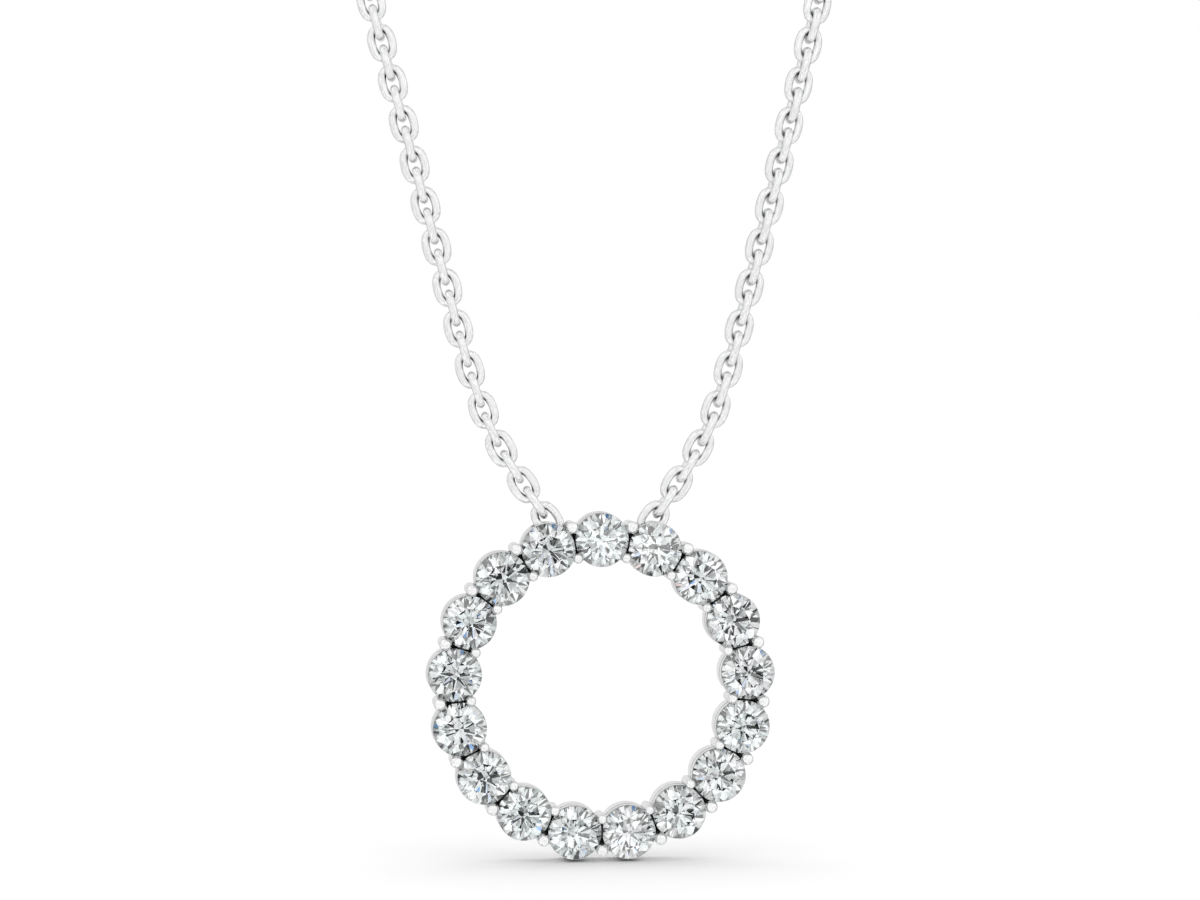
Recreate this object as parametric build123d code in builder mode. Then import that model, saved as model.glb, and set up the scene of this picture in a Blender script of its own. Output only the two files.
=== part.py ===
from build123d import *
from math import atan2, cos, degrees, pi, radians, sin, sqrt, tan
import os

# Circle pendant of round brilliants on a cable chain, in millimetres.
# The origin is the middle of the neck opening, level with the sides of the chain where it lies
# on a neck. +Z is up, -Y is the front of the wearer and +X is the left of the wearer.

# Round brilliants
stone_count = 17
stone_diameter = 2.5
stone_gap = 0.04
girdle_height = 0.06
table_share = 0.57
crown_angle = 34.5
star_angle = 22.0
upper_girdle_angle = 41.0
pavilion_angle = 40.8
lower_girdle_angle = 41.9
main_facets = 8
stone_turn_step = 17.0
seat_clearance = 0.02

# Setting
collar_wall = 0.40
collar_overhang = 0.03
collar_top_drop = 0.07
collar_below_culet = 0.62
base_ring_bore = 0.60
base_ring_height = 0.34
groove_depth = 0.06
groove_width = 0.14
groove_drop = 0.44
outer_prong_radius = 0.27
inner_prong_radius = 0.22
outer_prong_bite = 0.003
inner_prong_bite = 0.052
bead_overhang = 0.03
bead_height = 0.12
web_width = 0.36
web_drop = 0.30
web_height = 0.90

# Bail bars, one in the wall of the collar each side of the top stone
bail_bar_radius = 0.15
bail_bar_inset = 0.15
bail_turn = 11.0
bail_clearance = 0.05
bail_stone_clearance = 0.066
window_half_depth = 0.42
window_margin = 0.12

# Cable chain
wire_diameter = 0.38
link_width = 1.41
link_end_radius = 0.49
link_clearance = 0.13
front_link_count = 33

# Clasp
clasp_length = 5.2
clasp_diameter = 2.3
clasp_round = 0.6
clasp_seam_width = 0.12
clasp_seam_depth = 0.08
clasp_grip_offset = 0.75
eye_ring_radius = 0.5
eye_sink = 0.12

# Hang of the pendant below the origin, at the bail bars
pendant_drop = 113.2
pendant_front = 79.1

# Route of the right half of the chain. The first list runs from the end link's middle up the
# front, measured from there. The second runs on round the side of the neck to the last corner
# before the clasp. Each corner's arc takes up a share of its shorter run.
arc_share = 0.45
front_route = [
    (0.00, 0.00, 0.00),
    (1.65, 0.10, 2.49),
    (3.12, 0.30, 5.49),
    (4.97, 0.80, 12.39),
    (7.45, 1.90, 21.80),
    (9.81, 3.58, 30.83),
]
neck_route = [
    (16.0, -71.6, -68.6),
    (21.2, -65.2, -55.4),
    (27.8, -55.8, -42.2),
    (35.5, -43.0, -29.6),
    (43.6, -27.0, -18.0),
    (49.2, -8.5, -8.0),
    (48.9, 11.5, -0.5),
    (39.5, 31.0, 6.0),
    (21.5, 43.0, 10.0),
]

# Sizes that follow
stone_radius = stone_diameter / 2
girdle_half = girdle_height / 2
half_step = 180 / stone_count
ring_radius = (stone_radius + stone_gap / 2) / sin(radians(half_step))
joint_radius = ring_radius * cos(radians(half_step))
joint_half_gap = ring_radius * sin(radians(half_step))
outer_prong_spacing = stone_radius + outer_prong_radius - outer_prong_bite
inner_prong_spacing = stone_radius + inner_prong_radius - inner_prong_bite
outer_prong_reach = sqrt(outer_prong_spacing**2 - joint_half_gap**2)
inner_prong_reach = sqrt(inner_prong_spacing**2 - joint_half_gap**2)
table_radius = stone_radius * table_share
crown_height = (stone_radius - table_radius) * tan(radians(crown_angle))
table_height = girdle_half + crown_height
collar_radius = stone_radius + collar_overhang
collar_top = -girdle_half - collar_top_drop
culet_depth = girdle_half + stone_radius * tan(radians(pavilion_angle))
collar_bottom = -culet_depth - collar_below_culet
facet_half_step = 180 / (2 * main_facets)


def facet_plane(turn, reach, height, angle):
    """Plane of a facet that faces outwards at a turn about the stone's axis."""
    side = cos(radians(turn)), sin(radians(turn))
    lean = radians(angle)
    point = (reach * side[0], reach * side[1], height)
    normal = (sin(lean) * side[0], sin(lean) * side[1], cos(lean))
    return Plane(origin=point, z_dir=normal)


def facet_planes():
    """The sloping facets of a brilliant, as planes with the stone on their lower side."""
    planes = []
    girdle_reach = stone_radius * cos(radians(facet_half_step))
    star_reach = table_radius * cos(radians(2 * facet_half_step))
    for main in range(main_facets):
        turn = main * 4 * facet_half_step
        planes.append(facet_plane(turn, stone_radius, girdle_half, crown_angle))
        planes.append(facet_plane(turn, stone_radius, -girdle_half, 180 - pavilion_angle))
        planes.append(
            facet_plane(turn + 2 * facet_half_step, star_reach, table_height, star_angle)
        )
        for side in (turn - facet_half_step, turn + facet_half_step):
            planes.append(facet_plane(side, girdle_reach, girdle_half, upper_girdle_angle))
            planes.append(
                facet_plane(side, girdle_reach, -girdle_half, 180 - lower_girdle_angle)
            )
    return planes


# A brilliant about Z, with its table up and its girdle's middle at the origin
blank_drop = stone_radius * tan(radians(lower_girdle_angle)) + girdle_half
with BuildPart() as brilliant:
    with BuildSketch(Plane.XY.offset(-blank_drop)):
        Circle(stone_radius)
    extrude(amount=blank_drop + table_height)
    for plane in facet_planes():
        split(bisect_by=plane, keep=Keep.BOTTOM)

# The room that a stone takes up in the metal, its girdle and points grown by the clearance
pavilion_slope = tan(radians(lower_girdle_angle)) * cos(radians(facet_half_step))
crown_slope = tan(radians(upper_girdle_angle)) * cos(radians(facet_half_step))
room_radius = stone_radius + seat_clearance
with BuildPart() as stone_room:
    with BuildSketch(Plane.XZ):
        with BuildLine():
            Polyline(
                (0, -girdle_half - room_radius * pavilion_slope),
                (room_radius, -girdle_half),
                (room_radius, girdle_half),
                (room_radius - (crown_height + seat_clearance) / crown_slope,
                 table_height + seat_clearance),
                (0, table_height + seat_clearance),
                close=True,
            )
        make_face()
    revolve(axis=Axis.Z)


def ring_spot(reach, turn):
    """Point of the pendant's plane at a turn from the top, clockwise from the front."""
    return reach * sin(radians(turn)), reach * cos(radians(turn))


# Collar behind one stone, a tube with a shallow groove round it and a heavier ring at its back
with BuildPart() as collar:
    with BuildSketch(Plane.XY.offset(collar_top)):
        Circle(collar_radius)
        Circle(collar_radius - collar_wall, mode=Mode.SUBTRACT)
    extrude(amount=collar_bottom - collar_top)
    with BuildSketch(Plane.XY.offset(collar_top - groove_drop)):
        Circle(collar_radius + groove_depth)
        Circle(collar_radius - groove_depth, mode=Mode.SUBTRACT)
    extrude(amount=-groove_width, mode=Mode.SUBTRACT)
    with BuildSketch(Plane.XY.offset(collar_bottom)):
        Circle(collar_radius)
        Circle(base_ring_bore, mode=Mode.SUBTRACT)
    extrude(amount=base_ring_height)

stone_spots = [ring_spot(ring_radius, 2 * half_step * k) for k in range(stone_count)]
joint_turns = [2 * half_step * (k + 0.5) for k in range(stone_count)]

# Oval link about the origin, long along X and flat in XY
wire_radius = wire_diameter / 2
front_rise = [Vector(*spot) for spot in front_route]


def corner_radii(points):
    """Arc radii that take up the arcs' share of the shorter run at each corner of a route."""
    radii = []
    for before, corner, after in zip(points, points[1:], points[2:]):
        turn = (corner - before).get_angle(after - corner)
        run = min((corner - before).length, (after - corner).length)
        radii.append(arc_share * run / tan(radians(turn / 2)))
    return radii


with BuildLine():
    front_shape = FilletPolyline(*front_rise, radius=corner_radii(front_rise))
link_pitch = front_shape.length / front_link_count
half_length = (link_pitch + link_clearance + wire_diameter) / 2
half_width = (link_width - wire_diameter) / 2
end_middle = half_length - link_end_radius
side_radius = (end_middle**2 + half_width**2 - link_end_radius**2) / (
    2 * (half_width - link_end_radius)
)
side_middle = side_radius - half_width
arc_turn = degrees(atan2(side_middle, end_middle))
with BuildPart() as link:
    with BuildLine() as link_line:
        CenterArc((end_middle, 0), link_end_radius, -arc_turn, 2 * arc_turn)
        CenterArc((0, -side_middle), side_radius, arc_turn, 180 - 2 * arc_turn)
        CenterArc((-end_middle, 0), link_end_radius, 180 - arc_turn, 2 * arc_turn)
        CenterArc((0, side_middle), side_radius, 180 + arc_turn, 180 - 2 * arc_turn)
    with BuildSketch(Plane(origin=(half_length, 0, 0), z_dir=(0, 1, 0))):
        Circle(wire_radius)
    sweep(path=link_line.wires()[0])

# Where the bail bars stand in the setting, and the end links that hang on them. The links lie
# behind the girdles' plane by the bail depth, which keeps their wire clear of the stones' cones.
bail_bar_reach = collar_radius - bail_bar_inset
wire_reach = bail_bar_reach - bail_bar_radius - bail_clearance - wire_radius
cone_depth = girdle_half + (stone_radius - wire_reach) * tan(radians(lower_girdle_angle))
bail_depth = cone_depth + (wire_radius + bail_stone_clearance) / cos(radians(lower_girdle_angle))
second_stone = stone_spots[1]
bar_spot = (
    second_stone[0] - bail_bar_reach * sin(radians(bail_turn)),
    second_stone[1] + bail_bar_reach * cos(radians(bail_turn)),
)
hang_direction = (front_rise[1] - front_rise[0]).normalized()
hang_turn = degrees(atan2(hang_direction.Z, hang_direction.X))
bar_to_link = half_length - wire_radius - bail_clearance - bail_bar_radius
link_spot = (
    bar_spot[0] + bar_to_link * cos(radians(hang_turn)),
    bar_spot[1] + bar_to_link * sin(radians(hang_turn)),
)
swing_spot = (
    link_spot[0] - half_length * cos(radians(hang_turn)),
    link_spot[1] - half_length * sin(radians(hang_turn)),
)

# Setting in its own plane, with the front up +Z: collars, prongs with beads, webs and bail bars
with BuildPart() as setting_flat:
    with Locations(*stone_spots):
        add(collar.part)
    for reach, radius in (
        (joint_radius + outer_prong_reach, outer_prong_radius),
        (joint_radius - inner_prong_reach, inner_prong_radius),
    ):
        prong_spots = [ring_spot(reach, turn) for turn in joint_turns]
        with BuildSketch(Plane.XY.offset(collar_bottom)):
            with Locations(*prong_spots):
                Circle(radius)
        extrude(amount=bead_height - collar_bottom)
        with Locations(*[(x, y, bead_height) for x, y in prong_spots]):
            Sphere(radius + bead_overhang)
    with BuildSketch(Plane.XY.offset(collar_top - web_drop)):
        for turn in joint_turns:
            with Locations(Location(ring_spot(joint_radius, turn), -turn)):
                Rectangle(web_width, inner_prong_reach + outer_prong_reach)
    extrude(amount=-web_height)
    for side in (1, -1):
        with BuildSketch(Plane.XY.offset(-bail_depth - window_half_depth)):
            with Locations(Location((side * link_spot[0], link_spot[1]), side * hang_turn)):
                SlotOverall(
                    2 * (half_length + wire_radius + window_margin),
                    link_width + 2 * window_margin,
                )
        extrude(amount=2 * window_half_depth, mode=Mode.SUBTRACT)
        with BuildSketch(Plane.XY.offset(-bail_depth - window_half_depth - bail_bar_radius)):
            with Locations((side * bar_spot[0], bar_spot[1])):
                Circle(bail_bar_radius)
        extrude(amount=2 * (window_half_depth + bail_bar_radius))
    with Locations(*stone_spots):
        add(stone_room.part, mode=Mode.SUBTRACT)

# The pendant's middle, with its girdles' plane in front of the hinge line of its bars
pendant_middle = (0, -pendant_front - bail_depth, -pendant_drop - swing_spot[1])
pendant_plane = Plane(origin=pendant_middle, x_dir=(1, 0, 0), z_dir=(0, -1, 0))

with BuildPart() as circle_setting:
    with Locations(pendant_plane.location):
        add(setting_flat.part)

diamonds = []
for k, (x, y) in enumerate(stone_spots):
    with BuildPart() as diamond:
        with Locations(pendant_plane.location * Location((x, y, 0), k * stone_turn_step)):
            add(brilliant.part)
    diamonds.append(diamond)

# Right-hand routes of the chain, and the links along the front one
link_start = Vector(link_spot[0], -pendant_front, pendant_middle[2] + link_spot[1])
front_points = [link_start + spot for spot in front_rise]
eye_pitch = half_length + eye_ring_radius - wire_diameter - link_clearance
clasp_reach = clasp_length / 2 + eye_ring_radius - eye_sink
nape_end = (clasp_reach + eye_pitch, *neck_route[-1][1:])
neck_points = [front_points[-1]] + [Vector(*spot) for spot in (*neck_route, nape_end)]


def mirrored(points):
    """The same points on the other side of the middle plane."""
    return [Vector(-point.X, point.Y, point.Z) for point in points]


def chain_front(points):
    """Front stretch of the chain, each link turned a quarter against the next."""
    with BuildLine():
        route = FilletPolyline(*points, radius=corner_radii(points))
    places = []
    for k in range(front_link_count):
        share = k / front_link_count
        middle = route @ share
        along = route % share
        outward = Vector(middle.X, middle.Y, 0).normalized()
        across = along.cross(outward).normalized()
        facing = across if k % 2 else across.cross(along)
        places.append(Plane(origin=middle, x_dir=along, z_dir=facing).location)
    with BuildPart() as front:
        with Locations(*places):
            add(link.part)
    return front


def chain_back(points):
    """The rest of one half of the chain, as a round bar of its outer width."""
    radii = corner_radii(points)
    with BuildPart() as back:
        with BuildLine():
            route = FilletPolyline(*points, radius=radii)
        with BuildSketch(Plane(origin=route @ 0, z_dir=route % 0)):
            Circle(link_width / 2)
        sweep(path=route)
    print("back stretch length", round(route.length, 3))
    print("arc radii", [round(radius, 1) for radius in radii])
    section = pi * link_width**2 / 4
    print("volume share of section times length",
          round(back.part.volume / (section * route.length), 5))
    return back


chain_right = chain_front(front_points)
chain_left = chain_front(mirrored(front_points))
chain_back_right = chain_back(neck_points)
chain_back_left = chain_back(mirrored(neck_points))

# Clasp at the nape: a screw barrel along X with a seam where its halves meet, a fine line round
# each half and a ring eye at each end
clasp_plane = Plane(origin=(0, nape_end[1], nape_end[2]), z_dir=(1, 0, 0))
with BuildPart() as clasp:
    with BuildSketch(clasp_plane.offset(-clasp_length / 2)):
        Circle(clasp_diameter / 2)
    extrude(amount=clasp_length)
    fillet(clasp.edges().filter_by(GeomType.CIRCLE), clasp_round)
    for offset in (-clasp_grip_offset, 0, clasp_grip_offset):
        with BuildSketch(clasp_plane.offset(offset - clasp_seam_width / 2)):
            Circle(clasp_diameter / 2 + clasp_seam_depth)
            Circle(clasp_diameter / 2 - clasp_seam_depth, mode=Mode.SUBTRACT)
        extrude(amount=clasp_seam_width, mode=Mode.SUBTRACT)
    with Locations(
        Location((clasp_reach, nape_end[1], nape_end[2]), (90, 0, 0)),
        Location((-clasp_reach, nape_end[1], nape_end[2]), (90, 0, 0)),
    ):
        Torus(eye_ring_radius, wire_radius)

pieces = {
    "circle_setting": circle_setting,
    "chain_left": chain_left,
    "chain_right": chain_right,
    "chain_back_left": chain_back_left,
    "chain_back_right": chain_back_right,
    "clasp": clasp,
}
for k, diamond in enumerate(diamonds, start=1):
    pieces[f"diamond_{k:02d}"] = diamond

print("ring radius", round(ring_radius, 4), "link pitch", round(link_pitch, 4))
print("pendant middle", [round(value, 4) for value in pendant_middle])
print("hinge line y, z", round(-pendant_front, 4), round(-pendant_drop, 4))

os.makedirs("parts", exist_ok=True)
for name, piece in pieces.items():
    piece.part.label = name
    export_step(piece.part, f"parts/{name}.step")
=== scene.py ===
# Circle pendant necklace: the finished chain, the stones and metal, and the studio.

from math import cos, pi

import bpy
from bpy.props import FloatProperty, FloatVectorProperty, IntProperty, PointerProperty
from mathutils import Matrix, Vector


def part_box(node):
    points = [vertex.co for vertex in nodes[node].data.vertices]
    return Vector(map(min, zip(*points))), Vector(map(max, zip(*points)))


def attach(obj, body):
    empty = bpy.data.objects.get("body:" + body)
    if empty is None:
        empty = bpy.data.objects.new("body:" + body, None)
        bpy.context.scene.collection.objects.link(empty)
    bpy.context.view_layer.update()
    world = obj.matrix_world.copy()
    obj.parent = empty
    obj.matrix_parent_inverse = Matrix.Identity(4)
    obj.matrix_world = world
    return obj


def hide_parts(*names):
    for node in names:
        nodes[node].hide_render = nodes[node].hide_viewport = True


bl_info = {
    "name": "Circle Pendant Necklace",
    "version": (1, 0, 0),
    "blender": (4, 5, 0),
    "location": "View3D > Sidebar > Necklace",
    "description": "Dresses an open circle of brilliants on a cable chain",
    "category": "Object",
}

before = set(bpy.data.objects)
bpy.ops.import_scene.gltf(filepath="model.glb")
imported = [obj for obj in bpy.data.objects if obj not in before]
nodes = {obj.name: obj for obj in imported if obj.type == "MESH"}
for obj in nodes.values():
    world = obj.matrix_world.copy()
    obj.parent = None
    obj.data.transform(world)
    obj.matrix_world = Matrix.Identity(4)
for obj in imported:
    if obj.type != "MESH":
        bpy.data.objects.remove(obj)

# The chain's CAD nodes, each with the side of the neck on which it lies
FRONT_CHAINS = {"chain_left": -1, "chain_right": 1}
BACK_CHAINS = {"chain_back_left": -1, "chain_back_right": 1}
STONES = sorted(name for name in nodes if name.startswith("diamond_"))

# Route of the front links of the right half, in metres: from the link on its bail bar up to the
# first link of the stretch behind
FRONT_ROUTE = [
    (0.002486, -0.079105, -0.112595),
    (0.004260, -0.07900, -0.110084),
    (0.005730, -0.07880, -0.107084),
    (0.007530, -0.07830, -0.100184),
    (0.009960, -0.07730, -0.090774),
    (0.012290, -0.07552, -0.081744),
]

# Route of the right half of the chain behind the front links, in metres: from the end of the
# front route up over the collar bone, round the side of the neck and in to the clasp at the nape
NECK_ROUTE = [
    (0.01229, -0.07552, -0.08174),
    (0.01600, -0.07190, -0.06860),
    (0.02120, -0.06520, -0.05540),
    (0.02780, -0.05580, -0.04220),
    (0.03550, -0.04300, -0.02960),
    (0.04360, -0.02700, -0.01800),
    (0.04920, -0.00850, -0.00800),
    (0.04890, 0.01150, -0.00050),
    (0.03950, 0.03100, 0.00600),
    (0.02150, 0.04300, 0.01000),
    (0.00372, 0.04300, 0.01000),
]
ROUTE_ORDER = 3
ROUTE_STEPS = 24

# The inputs of the cable chain's Geometry Nodes, each with its kind
CHAIN_INPUTS = {
    "Route": "Geometry",
    "Front": "Int",
    "Pitch": "Float",
    "Wire Diameter": "Float",
    "End Radius": "Float",
    "Half Length": "Float",
    "Half Width": "Float",
    "Link Points": "Int",
    "Wire Points": "Int",
    "Metal": "Material",
}

# Two copies of one polished white gold, cast and drawn as wire, and their painted shade: how
# dark their recesses are painted by how open a spot is, darker on the cast gold
CAST_GOLD_SHADED = "polished_white_gold"
WIRE_GOLD_SHADED = "polished_gold_wire"
RECESS_PAINTED_SHADES = {
    CAST_GOLD_SHADED: [(0.0, 0.02), (0.18, 0.04)],
    WIRE_GOLD_SHADED: [(0.0, 0.03), (0.18, 0.10)],
}
PAINTED_SHADE_END = 0.42
RECESS_SAMPLES = 8

# The polish: fine marks of a shallow relief, in metres, and wide clouds of more and less roughness
MARK_DETAIL = 3.0
MARK_STRENGTH = 0.01
MARK_RELIEF = 0.00002
CLOUDS_TO_MARKS = 0.12
CLOUD_DETAIL = 4.0
CLOUD_SPAN = (0.3, 0.7)
ROUGHNESS_SPAN = (0.6, 1.4)

# The painted shade in the narrow gap between two stones of the circle, black, from bead to bead,
# in metres. Its middle lies a little outside the stones' middles. It fades out from its own width
# and length to these shares of them, and from this share of its depth to its depth.
GAP_PAINTED_SHADE = (0.01, 0.01, 0.01, 1.0)
GAP_SHIFT = 0.00007
GAP_HALF_LENGTH = 0.00043
GAP_HALF_WIDTH = 0.00011
GAP_DEPTH = 0.0015
GAP_WIDTH_FADE = 1.5
GAP_LENGTH_FADE = 1.15
GAP_DEPTH_FADE = 0.5

# The body of a stone: where in its noise a veil is darkest, where the veil ends and where the
# stone is clearest, then its clearest colour and the tints of the patches of painted fire in it,
# faint tints that stand in for the coloured flashes of split light
BRILLIANT = "clear_brilliant"
VEIL_STOPS = (0.38, 0.48, 0.62)
VEIL_DETAIL = 3.0
CLEAREST = (0.97, 0.975, 0.98)
FIRE_DETAIL = 1.0
PAINTED_FIRE_TINTS = [
    (0.38, (0.92, 1.0, 1.0)),
    (0.45, (0.97, 1.0, 0.995)),
    (0.58, (0.98, 1.0, 1.0)),
    (0.66, (0.99, 0.975, 1.0)),
]

# What the metal mirrors of the studio: the greys of its panels by share, the one light panel
# right behind the necklace, and the shade of them all from there, 0, to the lens, 1
PANEL_GREYS = [(0.0, 0.0), (0.08, 0.03), (0.12, 0.15), (0.24, 0.5), (0.32, 0.9), (1.0, 1.0)]
FAR_PANEL = [(0.0, 1.0), (0.05, 1.0), (0.09, 0.0), (1.0, 0.0)]
METAL_DEPTHS = [
    (0.0, 0.55),
    (0.02, 0.60),
    (0.05, 0.78),
    (0.08, 0.78),
    (0.12, 0.62),
    (0.18, 0.56),
    (0.28, 0.64),
    (0.40, 1.0),
    (1.0, 1.0),
]

# What shows of the studio through the stones: the greys of the same panels, their shade in the
# same way, by how few they are tinted, and the tints
STONE_GREYS = [(0.0, 0.03), (0.15, 0.08), (0.27, 0.41), (0.40, 0.80), (0.55, 0.95), (1.0, 1.0)]
STONE_DEPTHS = [
    (0.0, 0.80),
    (0.10, 0.60),
    (0.40, 0.30),
    (0.62, 0.45),
    (0.80, 0.75),
    (0.88, 0.90),
    (0.93, 0.45),
    (0.955, 0.80),
    (0.965, 1.0),
    (1.0, 1.0),
]
TINTED_SHARE = [(0.0, 0.0), (0.955, 0.0), (0.959, 1.0)]
PANEL_TINTS = [
    (0.0, (0.30, 0.52, 0.90)),
    (0.50, (0.50, 0.78, 0.92)),
    (0.68, (0.62, 0.58, 0.92)),
    (0.82, (0.92, 0.82, 0.58)),
    (0.90, (0.94, 0.72, 0.72)),
]

# The camera's film and reach, in millimetres and metres, and the white of the studio
FILM_WIDTH = 36.0
NEAREST = 0.001
FARTHEST = 50.0
FLOOR_COLOUR = (0.9, 0.9, 0.9, 1.0)
FLOOR_ROUGHNESS = 0.9
WHITE = (1.0, 1.0, 1.0, 1.0)


class ChainSizes(bpy.types.PropertyGroup):
    """Sizes of one link of the cable chain."""

    pitch: FloatProperty(
        name="Link Pitch", description="From one link's middle to the next",
        default=0.0009926, unit="LENGTH", precision=5)
    wire: FloatProperty(
        name="Wire Diameter", description="Thickness of a link's wire",
        default=0.000395, unit="LENGTH", precision=6)
    end_radius: FloatProperty(
        name="End Radius", description="Radius of a link's rounded end, to the wire's middle",
        default=0.00045, unit="LENGTH", precision=5)
    half_length: FloatProperty(
        name="Half Length", description="From a link's middle to the wire's middle at its end",
        default=0.0007215, unit="LENGTH", precision=5)
    half_width: FloatProperty(
        name="Half Width", description="From a link's middle to the wire's middle at its side",
        default=0.000475, unit="LENGTH", precision=5)
    front_points: IntProperty(
        name="Points Round a Front Link", description="Corners of the wire's path in front",
        default=32, min=6)
    front_wire_points: IntProperty(
        name="Points Round Front Wire", description="Corners of the wire's section in front",
        default=10, min=4)
    back_points: IntProperty(
        name="Points Round a Back Link", description="Corners of the wire's path behind",
        default=14, min=6)
    back_wire_points: IntProperty(
        name="Points Round Back Wire", description="Corners of the wire's section behind",
        default=6, min=4)


class MetalLook(bpy.types.PropertyGroup):
    """Polished white gold."""

    cast_colour: FloatVectorProperty(
        name="Cast Colour", description="Reflection colour of the setting and the clasp",
        default=(0.95, 0.95, 0.955), size=3, min=0.0, max=1.0, subtype="COLOR")
    # Painted shade: the links' copy of the same gold is painted a little darker than the cast gold
    shaded_wire_colour: FloatVectorProperty(
        name="Wire Colour", description="Reflection colour of the links",
        default=(0.90, 0.90, 0.905), size=3, min=0.0, max=1.0, subtype="COLOR")
    roughness: FloatProperty(
        name="Roughness", description="Mean roughness of the polish",
        default=0.22, min=0.0, max=1.0, subtype="FACTOR")
    # Painted shade: how far the painted shade in the metal's recesses reaches
    recess_shade_size: FloatProperty(
        name="Recess Size", description="How near metal or stone shades a narrow gap",
        default=0.0004, unit="LENGTH", precision=5)
    mark_size: FloatProperty(
        name="Mark Size", description="Spacing of the polishing marks",
        default=0.00012, unit="LENGTH", precision=6)


class StoneLook(bpy.types.PropertyGroup):
    """Colourless brilliants."""

    colour: FloatVectorProperty(
        name="Colour", description="Tint of the light that passes a facet",
        default=(0.878, 0.889, 0.889), size=3, min=0.0, max=1.0, subtype="COLOR")
    refraction: FloatProperty(
        name="Refractive Index", description="Of the stones", default=2.42, min=1.0, max=4.0)
    veil_size: FloatProperty(
        name="Veil Size", description="Spacing of the faint grey veils in a stone",
        default=0.0005, unit="LENGTH", precision=5)
    veil_shade: FloatProperty(
        name="Veil Shade", description="How dark the veils are",
        default=0.25, min=0.0, max=1.0, subtype="FACTOR")
    # Painted fire: spacing of the faint tinted patches for the coloured flashes of split light
    painted_fire_size: FloatProperty(
        name="Fire Size", description="Spacing of the faint coloured patches",
        default=0.0009, unit="LENGTH", precision=5)
    # Painted shade: how near the next stone paints a stone's edge dark
    edge_shade_size: FloatProperty(
        name="Edge Size", description="How near the next stone darkens a stone's edge",
        default=0.00004, unit="LENGTH", precision=5)


class StudioSizes(bpy.types.PropertyGroup):
    """Camera, floor and light."""

    camera_place: FloatVectorProperty(
        name="Camera", description="Where the camera stands",
        default=(-0.01943, -0.27471, -0.10228), size=3, subtype="TRANSLATION")
    camera_aim: FloatVectorProperty(
        name="Aim", description="What the middle of the picture looks at",
        default=(-0.00011, -0.08006, -0.10931), size=3, subtype="TRANSLATION")
    focal_length: FloatProperty(
        name="Focal Length", description="On film 36 mm wide", default=126.0, unit="CAMERA")
    floor_gap: FloatProperty(
        name="Floor Gap", description="From the floor up to the circle",
        default=0.0001, unit="LENGTH", precision=5)
    floor_size: FloatProperty(
        name="Floor Size", description="Side of the square floor", default=6.0, unit="LENGTH")
    floor_light: FloatProperty(
        name="Floor Light", description="Brightness of the soft light on the floor",
        default=1.19, min=0.0)
    panel_scale: FloatProperty(
        name="Panel Scale", description="Panels of the studio to one radius of its dome",
        default=14.0, min=1.0)
    panel_light: FloatProperty(
        name="Panel Light", description="Brightness of the panels that the metal mirrors",
        default=1.3, min=0.0)
    stone_light: FloatProperty(
        name="Stone Light", description="Brightness of the dome that shows through the stones",
        default=1.5, min=0.0)


class NecklaceSettings(bpy.types.PropertyGroup):
    """All that a user would change."""

    chain: PointerProperty(type=ChainSizes)
    metal: PointerProperty(type=MetalLook)
    stones: PointerProperty(type=StoneLook)
    studio: PointerProperty(type=StudioSizes)


def settings():
    """The scene's own copy of the settings."""
    return bpy.context.scene.necklace


def new_material(name):
    """A material with an empty node tree, and that tree."""
    material = bpy.data.materials.new(name)
    material.use_nodes = True
    tree = material.node_tree
    tree.nodes.clear()
    return material, tree


def finish_material(tree, shader):
    """Puts a shader out as the material's surface."""
    output = add_node(tree, "ShaderNodeOutputMaterial")
    tree.links.new(shader.outputs["BSDF"], output.inputs["Surface"])


def dress(piece, material):
    """Makes a material the piece's only one."""
    piece.data.materials.clear()
    piece.data.materials.append(material)


def add_node(tree, kind, **values):
    """A node with its properties set."""
    node = tree.nodes.new(kind)
    for name, value in values.items():
        setattr(node, name, value)
    return node


def feed(tree, socket, value):
    """Links another node's output to a socket, or sets the socket to a plain value."""
    if isinstance(value, bpy.types.NodeSocket):
        tree.links.new(value, socket)
    else:
        socket.default_value = value


def maths(tree, operation, *values):
    """The result of a maths node on one or two values."""
    node = add_node(tree, "ShaderNodeMath", operation=operation)
    for socket, value in zip(node.inputs, values):
        feed(tree, socket, value)
    return node.outputs["Value"]


def rise(tree, value, start, end):
    """A value's smooth rise from 0 at the start to 1 at the end."""
    node = add_node(tree, "ShaderNodeMapRange", interpolation_type="SMOOTHSTEP")
    node.inputs["From Min"].default_value = start
    node.inputs["From Max"].default_value = end
    tree.links.new(value, node.inputs["Value"])
    return node.outputs["Result"]


def noise(tree, place, scale, detail):
    """Noise with so many patches to the metre."""
    node = add_node(tree, "ShaderNodeTexNoise")
    node.inputs["Scale"].default_value = scale
    node.inputs["Detail"].default_value = detail
    tree.links.new(place, node.inputs["Vector"])
    return node.outputs["Fac"]


def ramp(tree, source, stops, interpolation="LINEAR"):
    """The colour for a source by a ramp's stops, each a place and a grey or a colour."""
    node = add_node(tree, "ShaderNodeValToRGB")
    node.color_ramp.interpolation = interpolation
    elements = node.color_ramp.elements
    elements.remove(elements[-1])
    for number, (place, colour) in enumerate(stops):
        element = elements.new(place) if number else elements[0]
        element.position = place
        element.color = (*colour, 1.0) if isinstance(colour, tuple) else (*[colour] * 3, 1.0)
    tree.links.new(source, node.inputs["Fac"])
    return node.outputs["Color"]


def mixed(tree, kind, share, first, second):
    """Two colours blended, by a share from 0, the first alone, to 1."""
    node = add_node(tree, "ShaderNodeMix", data_type="RGBA", blend_type=kind)
    feed(tree, node.inputs["Factor"], share)
    feed(tree, node.inputs["A"], first)
    feed(tree, node.inputs["B"], second)
    return node.outputs["Result"]


def stone_middle(name):
    """The middle of a stone's box."""
    low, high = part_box(name)
    return (Vector(low) + Vector(high)) / 2


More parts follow.
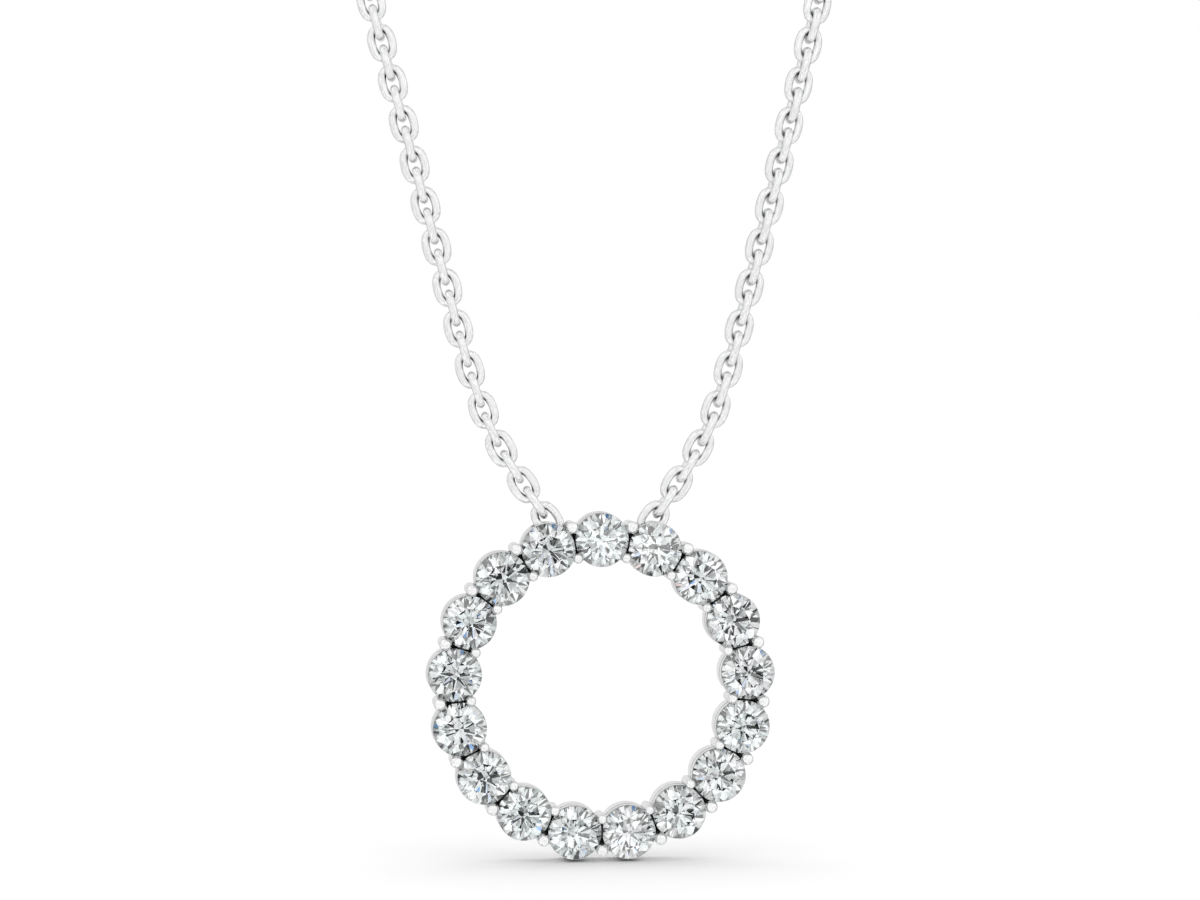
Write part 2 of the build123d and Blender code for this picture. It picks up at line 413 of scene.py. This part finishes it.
def clear_of_gap_shade(tree, place, half_width):
    """The mask of the painted gap shade: 0 in the narrow gap between two stones of the circle,
    from bead to bead, and 1 clear of it, by the distance from the plane halfway between the
    stones."""
    middle = sum((stone_middle(name) for name in STONES), Vector()) / len(STONES)
    step = 2 * pi / len(STONES)
    gap_reach = (stone_middle(STONES[0]) - middle).length * cos(step / 2) + GAP_SHIFT
    split = add_node(tree, "ShaderNodeSeparateXYZ")
    tree.links.new(place, split.inputs["Vector"])
    across = split.outputs["X"]
    up = maths(tree, "SUBTRACT", split.outputs["Z"], middle.z)
    squares = [maths(tree, "MULTIPLY", part, part) for part in (across, up)]
    reach = maths(tree, "SQRT", maths(tree, "ADD", *squares))
    turn = maths(tree, "DIVIDE", maths(tree, "ARCTAN2", across, up), step)
    beside = maths(tree, "SUBTRACT", maths(tree, "FRACT", turn), 0.5)
    beside = maths(tree, "MULTIPLY", maths(tree, "ABSOLUTE", beside), step)
    beside = maths(tree, "MULTIPLY", beside, reach)
    beside = rise(tree, beside, half_width, GAP_WIDTH_FADE * half_width)
    along = maths(tree, "ABSOLUTE", maths(tree, "SUBTRACT", reach, gap_reach))
    along = rise(tree, along, GAP_HALF_LENGTH, GAP_LENGTH_FADE * GAP_HALF_LENGTH)
    return maths(tree, "MAXIMUM", beside, along)


def painted_shade_in_gaps(tree, place, colour):
    """The metal's colour with painted shade, black in the gaps between the stones but not behind
    them.
    """
    split = add_node(tree, "ShaderNodeSeparateXYZ")
    tree.links.new(place, split.inputs["Vector"])
    girdle = stone_middle(STONES[0]).y
    start, end = girdle + GAP_DEPTH_FADE * GAP_DEPTH, girdle + GAP_DEPTH
    behind = rise(tree, split.outputs["Y"], start, end)
    clear = maths(tree, "MAXIMUM", clear_of_gap_shade(tree, place, GAP_HALF_WIDTH), behind)
    return mixed(tree, "MIX", clear, GAP_PAINTED_SHADE, colour)


def white_gold(name):
    """Polished white gold with fine marks from the polishing wheel, cast or drawn as wire, with
    painted shade in its recesses and, on the cast gold, painted black shade in the gaps between
    the stones.
    """
    found = bpy.data.materials.get(name)
    if found:
        return found
    look = settings().metal
    material, tree = new_material(name)
    place = add_node(tree, "ShaderNodeTexCoord").outputs["Object"]
    # Painted shade: the metal's colour darkens in its recesses, by how open a spot is
    recess = add_node(tree, "ShaderNodeAmbientOcclusion", samples=RECESS_SAMPLES)
    recess.inputs["Distance"].default_value = look.recess_shade_size
    open_colour = tuple(look.cast_colour if name == CAST_GOLD_SHADED else look.shaded_wire_colour)
    shades = [*RECESS_PAINTED_SHADES[name], (PAINTED_SHADE_END, open_colour)]
    colour = ramp(tree, recess.outputs["AO"], shades)
    # Painted shade: black in the gaps between the stones
    if name == CAST_GOLD_SHADED:
        colour = painted_shade_in_gaps(tree, place, colour)

    polish = add_node(tree, "ShaderNodeMapRange")
    polish.inputs["From Min"].default_value = CLOUD_SPAN[0]
    polish.inputs["From Max"].default_value = CLOUD_SPAN[1]
    polish.inputs["To Min"].default_value = ROUGHNESS_SPAN[0] * look.roughness
    polish.inputs["To Max"].default_value = ROUGHNESS_SPAN[1] * look.roughness
    clouds = noise(tree, place, CLOUDS_TO_MARKS / look.mark_size, CLOUD_DETAIL)
    tree.links.new(clouds, polish.inputs["Value"])
    relief = add_node(tree, "ShaderNodeBump")
    relief.inputs["Strength"].default_value = MARK_STRENGTH
    relief.inputs["Distance"].default_value = MARK_RELIEF
    marks = noise(tree, place, 1.0 / look.mark_size, MARK_DETAIL)
    tree.links.new(marks, relief.inputs["Height"])

    metal = add_node(tree, "ShaderNodeBsdfPrincipled")
    metal.inputs["Metallic"].default_value = 1.0
    tree.links.new(colour, metal.inputs["Base Color"])
    tree.links.new(polish.outputs["Result"], metal.inputs["Roughness"])
    tree.links.new(relief.outputs["Normal"], metal.inputs["Normal"])
    finish_material(tree, metal)
    return material


def brilliant():
    """Clear stone of a high refractive index, with faint veils and patches of painted fire in it,
    and with painted shade, dark at its edge where the next stone is near."""
    found = bpy.data.materials.get(BRILLIANT)
    if found:
        return found
    look = settings().stones
    material, tree = new_material(BRILLIANT)
    place = add_node(tree, "ShaderNodeTexCoord").outputs["Object"]
    veil = tuple((1.0 - look.veil_shade) * part for part in look.colour)
    bodies = list(zip(VEIL_STOPS, (veil, tuple(look.colour), CLEAREST)))
    body = ramp(tree, noise(tree, place, 1.0 / look.veil_size, VEIL_DETAIL), bodies)
    # Painted fire: faint tinted patches that stand in for the coloured flashes of split light
    fire = ramp(tree, noise(tree, place, 1.0 / look.painted_fire_size, FIRE_DETAIL), PAINTED_FIRE_TINTS)
    colour = mixed(tree, "MULTIPLY", 1.0, body, fire)
    # Painted shade: black at the stone's edge where the next stone is near
    colour = mixed(tree, "MIX", clear_of_gap_shade(tree, place, look.edge_shade_size), GAP_PAINTED_SHADE, colour)
    stone = add_node(tree, "ShaderNodeBsdfPrincipled")
    stone.inputs["Roughness"].default_value = 0.0
    stone.inputs["Transmission Weight"].default_value = 1.0
    stone.inputs["IOR"].default_value = look.refraction
    tree.links.new(colour, stone.inputs["Base Color"])
    finish_material(tree, stone)
    return material


def bent_wire(tree, given):
    """One link's mesh, long along X and flat across Z: a circle of wire, drawn out to the link's
    width and, by a smooth bulge that is level at both ends, to its length."""
    oval = add_node(tree, "GeometryNodeCurvePrimitiveCircle")
    tree.links.new(given["Link Points"], oval.inputs["Resolution"])
    tree.links.new(given["End Radius"], oval.inputs["Radius"])
    split = add_node(tree, "ShaderNodeSeparateXYZ")
    place = add_node(tree, "GeometryNodeInputPosition").outputs["Position"]
    tree.links.new(place, split.inputs["Vector"])

    # With s from -1 to 1 along the link, the bulge is (15 s - 10 s^3 + 3 s^5) / 8
    share = maths(tree, "DIVIDE", split.outputs["X"], given["End Radius"])
    square = maths(tree, "MULTIPLY", share, share)
    bulge = maths(tree, "SUBTRACT", maths(tree, "MULTIPLY", square, 3.0), 10.0)
    bulge = maths(tree, "ADD", maths(tree, "MULTIPLY", bulge, square), 15.0)
    bulge = maths(tree, "MULTIPLY", bulge, maths(tree, "DIVIDE", share, 8.0))
    shift = maths(tree, "SUBTRACT", given["Half Length"], given["End Radius"])
    shift = maths(tree, "MULTIPLY", bulge, shift)
    spread = maths(tree, "DIVIDE", given["Half Width"], given["End Radius"])
    drawn = add_node(tree, "ShaderNodeCombineXYZ")
    tree.links.new(maths(tree, "ADD", split.outputs["X"], shift), drawn.inputs["X"])
    tree.links.new(maths(tree, "MULTIPLY", split.outputs["Y"], spread), drawn.inputs["Y"])
    path = add_node(tree, "GeometryNodeSetPosition")
    tree.links.new(oval.outputs["Curve"], path.inputs["Geometry"])
    tree.links.new(drawn.outputs["Vector"], path.inputs["Position"])

    section = add_node(tree, "GeometryNodeCurvePrimitiveCircle")
    tree.links.new(given["Wire Points"], section.inputs["Resolution"])
    tree.links.new(maths(tree, "DIVIDE", given["Wire Diameter"], 2.0), section.inputs["Radius"])
    wire = add_node(tree, "GeometryNodeCurveToMesh")
    tree.links.new(path.outputs["Geometry"], wire.inputs["Curve"])
    tree.links.new(section.outputs["Curve"], wire.inputs["Profile Curve"])
    return wire.outputs["Mesh"]


def link_turns(tree, given, index):
    """Each link's turn: along the route, facing away from the neck, and a quarter further for
    every other link. The first link faces that way in front, and is edge-on behind."""
    along = add_node(tree, "FunctionNodeAlignRotationToVector", axis="X")
    tangent = add_node(tree, "GeometryNodeInputTangent").outputs["Tangent"]
    tree.links.new(tangent, along.inputs["Vector"])
    outwards = add_node(tree, "ShaderNodeVectorMath", operation="MULTIPLY")
    place = add_node(tree, "GeometryNodeInputPosition").outputs["Position"]
    tree.links.new(place, outwards.inputs[0])
    outwards.inputs[1].default_value = (1.0, 1.0, 0.0)
    facing = add_node(tree, "FunctionNodeAlignRotationToVector", axis="Z", pivot_axis="X")
    tree.links.new(along.outputs["Rotation"], facing.inputs["Rotation"])
    tree.links.new(outwards.outputs["Vector"], facing.inputs["Vector"])

    behind = maths(tree, "SUBTRACT", 1.0, given["Front"])
    odd = maths(tree, "MODULO", maths(tree, "ADD", index, behind), 2.0)
    quarter = add_node(tree, "FunctionNodeAxisAngleToRotation")
    quarter.inputs["Axis"].default_value = (1.0, 0.0, 0.0)
    tree.links.new(maths(tree, "MULTIPLY", odd, pi / 2), quarter.inputs["Angle"])
    turned = add_node(tree, "FunctionNodeRotateRotation", rotation_space="LOCAL")
    tree.links.new(facing.outputs["Rotation"], turned.inputs["Rotation"])
    tree.links.new(quarter.outputs["Rotation"], turned.inputs["Rotate By"])
    return turned.outputs["Rotation"]


def cable_chain():
    """Geometry Nodes that lay a cable chain along a route: steps near the pitch, and a link at
    each point. A front stretch, where Front is 1, has an odd number of steps and leaves its last
    point to the stretch behind, which has an even number."""
    found = bpy.data.node_groups.get("cable_chain")
    if found:
        return found
    tree = bpy.data.node_groups.new("cable_chain", "GeometryNodeTree")
    for name, kind in CHAIN_INPUTS.items():
        tree.interface.new_socket(name, in_out="INPUT", socket_type="NodeSocket" + kind)
    tree.interface.new_socket("Chain", in_out="OUTPUT", socket_type="NodeSocketGeometry")
    given = add_node(tree, "NodeGroupInput").outputs
    result = add_node(tree, "NodeGroupOutput")

    length = add_node(tree, "GeometryNodeCurveLength")
    tree.links.new(given["Route"], length.inputs["Curve"])
    steps = maths(tree, "DIVIDE", length.outputs["Length"], given["Pitch"])
    steps = maths(tree, "SUBTRACT", steps, given["Front"])
    pairs = maths(tree, "ROUND", maths(tree, "DIVIDE", steps, 2.0))
    links = maths(tree, "ADD", maths(tree, "MULTIPLY", pairs, 2.0), 1.0)
    points = add_node(tree, "GeometryNodeResampleCurve")
    tree.links.new(given["Route"], points.inputs["Curve"])
    tree.links.new(maths(tree, "ADD", links, given["Front"]), points.inputs["Count"])

    index = add_node(tree, "GeometryNodeInputIndex").outputs["Index"]
    chain = add_node(tree, "GeometryNodeInstanceOnPoints")
    tree.links.new(points.outputs["Curve"], chain.inputs["Points"])
    tree.links.new(maths(tree, "LESS_THAN", index, links), chain.inputs["Selection"])
    tree.links.new(bent_wire(tree, given), chain.inputs["Instance"])
    tree.links.new(link_turns(tree, given, index), chain.inputs["Rotation"])
    real = add_node(tree, "GeometryNodeRealizeInstances")
    tree.links.new(chain.outputs["Instances"], real.inputs["Geometry"])
    smooth = add_node(tree, "GeometryNodeSetShadeSmooth")
    tree.links.new(real.outputs["Geometry"], smooth.inputs["Geometry"])
    metal = add_node(tree, "GeometryNodeSetMaterial")
    tree.links.new(smooth.outputs["Geometry"], metal.inputs["Geometry"])
    tree.links.new(given["Metal"], metal.inputs["Material"])
    tree.links.new(metal.outputs["Geometry"], result.inputs["Chain"])
    return tree


def route_curve(name, points, side):
    """A smooth curve along a route's points, mirrored for the left half."""
    curve = bpy.data.curves.new(name, "CURVE")
    curve.dimensions = "3D"
    curve.resolution_u = ROUTE_STEPS
    spline = curve.splines.new("NURBS")
    spline.points.add(len(points) - 1)
    for point, (x, y, z) in zip(spline.points, points):
        point.co = (side * x, y, z, 1.0)
    spline.order_u = ROUTE_ORDER
    spline.use_endpoint_u = True
    route = bpy.data.objects.new(name, curve)
    bpy.context.collection.objects.link(route)
    return route


def mesh_from(route, name):
    """A plain mesh piece from a route with its modifier applied, in place of the route."""
    graph = bpy.context.evaluated_depsgraph_get()
    mesh = bpy.data.meshes.new_from_object(route.evaluated_get(graph))
    curve = route.data
    bpy.data.objects.remove(route)
    bpy.data.curves.remove(curve)
    mesh.name = name
    piece = bpy.data.objects.new(name, mesh)
    bpy.context.collection.objects.link(piece)
    return piece


def lay_links(name, piece_name, points, side, front, link_points, wire_points):
    """Links along a route, in place of a CAD node of the chain."""
    sizes = settings().chain
    tree = cable_chain()
    values = {
        "Front": front,
        "Pitch": sizes.pitch,
        "Wire Diameter": sizes.wire,
        "End Radius": sizes.end_radius,
        "Half Length": sizes.half_length,
        "Half Width": sizes.half_width,
        "Link Points": link_points,
        "Wire Points": wire_points,
        "Metal": white_gold(WIRE_GOLD_SHADED),
    }
    route = route_curve("route_" + name, points, side)
    modifier = route.modifiers.new("links", "NODES")
    modifier.node_group = tree
    for socket in tree.interface.items_tree:
        if socket.name in values:
            modifier[socket.identifier] = values[socket.name]
    piece = mesh_from(route, piece_name)
    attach(piece, "chain")
    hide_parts(name)


def studio_camera(scene, sizes):
    """The camera at the photo's place and angle."""
    camera = bpy.data.objects.new("camera", bpy.data.cameras.new("camera"))
    scene.collection.objects.link(camera)
    camera.location = sizes.camera_place
    gaze = Vector(sizes.camera_aim) - Vector(sizes.camera_place)
    camera.rotation_euler = gaze.to_track_quat("-Z", "Y").to_euler()
    camera.data.sensor_width = FILM_WIDTH
    camera.data.lens = sizes.focal_length
    camera.data.clip_start = NEAREST
    camera.data.clip_end = FARTHEST
    scene.camera = camera


def studio_floor(scene, sizes):
    """A white floor just under the circle. It takes the circle's shadow, but the metal doesn't
    mirror it and it doesn't show through the stones."""
    half = sizes.floor_size / 2
    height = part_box("circle_setting")[0][2] - sizes.floor_gap
    corners = [(-half, -half), (half, -half), (half, half), (-half, half)]
    mesh = bpy.data.meshes.new("floor")
    mesh.from_pydata([(x, y, height) for x, y in corners], [], [(0, 1, 2, 3)])
    floor = bpy.data.objects.new("floor", mesh)
    scene.collection.objects.link(floor)
    material, tree = new_material("white_floor")
    paint = add_node(tree, "ShaderNodeBsdfPrincipled")
    paint.inputs["Base Color"].default_value = FLOOR_COLOUR
    paint.inputs["Roughness"].default_value = FLOOR_ROUGHNESS
    paint.inputs["Specular IOR Level"].default_value = 0.0
    finish_material(tree, paint)
    dress(floor, material)
    floor.visible_transmission = False
    floor.visible_glossy = False


def light(tree, colour, strength):
    """A world's light of a colour."""
    node = add_node(tree, "ShaderNodeBackground")
    node.inputs["Strength"].default_value = strength
    feed(tree, node.inputs["Color"], colour)
    return node.outputs["Background"]


def picked(tree, ray, first, second):
    """The second light for one kind of ray, and the first for the others."""
    node = add_node(tree, "ShaderNodeMixShader")
    for socket, value in zip(node.inputs, (ray, first, second)):
        tree.links.new(value, socket)
    return node.outputs["Shader"]


def studio_world(scene, sizes):
    """A white backdrop and the light round the necklace. The polished metal mirrors bright
    panels with grey and dark ones among them, dimmer behind the necklace, and one light panel
    right behind it. Through the stones show the same panels in other greys, darker at the sides
    and in a ring round the lens, a few of them tinted."""
    world = bpy.data.worlds.new("studio")
    world.use_nodes = True
    tree = world.node_tree
    tree.nodes.clear()
    place = add_node(tree, "ShaderNodeTexCoord").outputs["Generated"]
    panels = add_node(tree, "ShaderNodeTexVoronoi")
    panels.inputs["Scale"].default_value = sizes.panel_scale
    tree.links.new(place, panels.inputs["Vector"])
    split = add_node(tree, "ShaderNodeSeparateColor")
    tree.links.new(panels.outputs["Color"], split.inputs["Color"])
    panel, tinted, tint = (split.outputs[name] for name in ("Red", "Green", "Blue"))
    towards = add_node(tree, "ShaderNodeVectorMath", operation="DOT_PRODUCT")
    lens = (Vector(sizes.camera_place) - Vector(sizes.camera_aim)).normalized()
    towards.inputs[1].default_value = lens
    tree.links.new(place, towards.inputs[0])
    span = add_node(tree, "ShaderNodeMapRange")
    span.inputs["From Min"].default_value = -1.0
    tree.links.new(towards.outputs["Value"], span.inputs["Value"])
    depth = span.outputs["Result"]

    metal = ramp(tree, panel, PANEL_GREYS)
    metal = mixed(tree, "LIGHTEN", 1.0, metal, ramp(tree, depth, FAR_PANEL))
    metal = mixed(tree, "MULTIPLY", 1.0, metal, ramp(tree, depth, METAL_DEPTHS))
    stones = ramp(tree, panel, STONE_GREYS)
    stones = mixed(tree, "MULTIPLY", 1.0, stones, ramp(tree, depth, STONE_DEPTHS))
    tints = ramp(tree, tint, PANEL_TINTS, "CONSTANT")
    stones = mixed(tree, "MULTIPLY", ramp(tree, tinted, TINTED_SHARE), stones, tints)

    rays = add_node(tree, "ShaderNodeLightPath").outputs
    shown = light(tree, metal, sizes.panel_light)
    through = light(tree, stones, sizes.stone_light)
    shown = picked(tree, rays["Is Transmission Ray"], shown, through)
    shown = picked(tree, rays["Is Diffuse Ray"], shown, light(tree, WHITE, sizes.floor_light))
    shown = picked(tree, rays["Is Camera Ray"], shown, light(tree, WHITE, 1.0))
    output = add_node(tree, "ShaderNodeOutputWorld")
    tree.links.new(shown, output.inputs["Surface"])
    scene.world = world


class NECKLACE_OT_front_chain(bpy.types.Operator):
    """Lay the front links from the bail bars up"""

    bl_idname = "necklace.front_chain"
    bl_label = "Front Chain"

    def execute(self, context):
        sizes = settings().chain
        for name, side in FRONT_CHAINS.items():
            lay_links(name, name.replace("chain", "links_front"), FRONT_ROUTE, side, front=1,
                      link_points=sizes.front_points, wire_points=sizes.front_wire_points)
        return {"FINISHED"}


class NECKLACE_OT_back_chain(bpy.types.Operator):
    """Lay the links round the neck to the clasp"""

    bl_idname = "necklace.back_chain"
    bl_label = "Back Chain"

    def execute(self, context):
        sizes = settings().chain
        for name, side in BACK_CHAINS.items():
            lay_links(name, name.replace("chain_back", "links_back"), NECK_ROUTE, side, front=0,
                      link_points=sizes.back_points, wire_points=sizes.back_wire_points)
        return {"FINISHED"}


class NECKLACE_OT_setting(bpy.types.Operator):
    """Polish the setting"""

    bl_idname = "necklace.setting"
    bl_label = "Setting"

    def execute(self, context):
        dress(nodes["circle_setting"], white_gold(CAST_GOLD_SHADED))
        return {"FINISHED"}


class NECKLACE_OT_stones(bpy.types.Operator):
    """Give the brilliants their fire"""

    bl_idname = "necklace.stones"
    bl_label = "Brilliants"

    def execute(self, context):
        for name in STONES:
            dress(nodes[name], brilliant())
        return {"FINISHED"}


class NECKLACE_OT_clasp(bpy.types.Operator):
    """Polish the clasp"""

    bl_idname = "necklace.clasp"
    bl_label = "Clasp"

    def execute(self, context):
        dress(nodes["clasp"], white_gold(CAST_GOLD_SHADED))
        return {"FINISHED"}


class NECKLACE_OT_studio(bpy.types.Operator):
    """Set up the camera, the pale floor and the soft light"""

    bl_idname = "necklace.studio"
    bl_label = "Studio"

    def execute(self, context):
        sizes = settings().studio
        scene = context.scene
        studio_camera(scene, sizes)
        studio_floor(scene, sizes)
        studio_world(scene, sizes)
        scene.view_settings.view_transform = "Standard"
        scene.view_settings.look = "None"
        return {"FINISHED"}


class NECKLACE_PT_panel(bpy.types.Panel):
    """The necklace's pieces, in the order in which they are made"""

    bl_label = "Necklace"
    bl_space_type = "VIEW_3D"
    bl_region_type = "UI"
    bl_category = "Necklace"

    def draw(self, context):
        for operator in OPERATORS:
            self.layout.operator(operator.bl_idname)


GROUPS = (ChainSizes, MetalLook, StoneLook, StudioSizes, NecklaceSettings)
OPERATORS = (
    NECKLACE_OT_front_chain,
    NECKLACE_OT_back_chain,
    NECKLACE_OT_setting,
    NECKLACE_OT_stones,
    NECKLACE_OT_clasp,
    NECKLACE_OT_studio,
)


def register():
    for item in (*GROUPS, *OPERATORS, NECKLACE_PT_panel):
        bpy.utils.register_class(item)
    bpy.types.Scene.necklace = PointerProperty(type=NecklaceSettings)


def unregister():
    del bpy.types.Scene.necklace
    for item in reversed((*GROUPS, *OPERATORS, NECKLACE_PT_panel)):
        bpy.utils.unregister_class(item)


def main():
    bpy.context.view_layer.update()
    register()
    for name in ("front_chain", "back_chain", "setting", "stones", "clasp", "studio"):
        getattr(bpy.ops.necklace, name)()


if __name__ == "__main__":
    main()
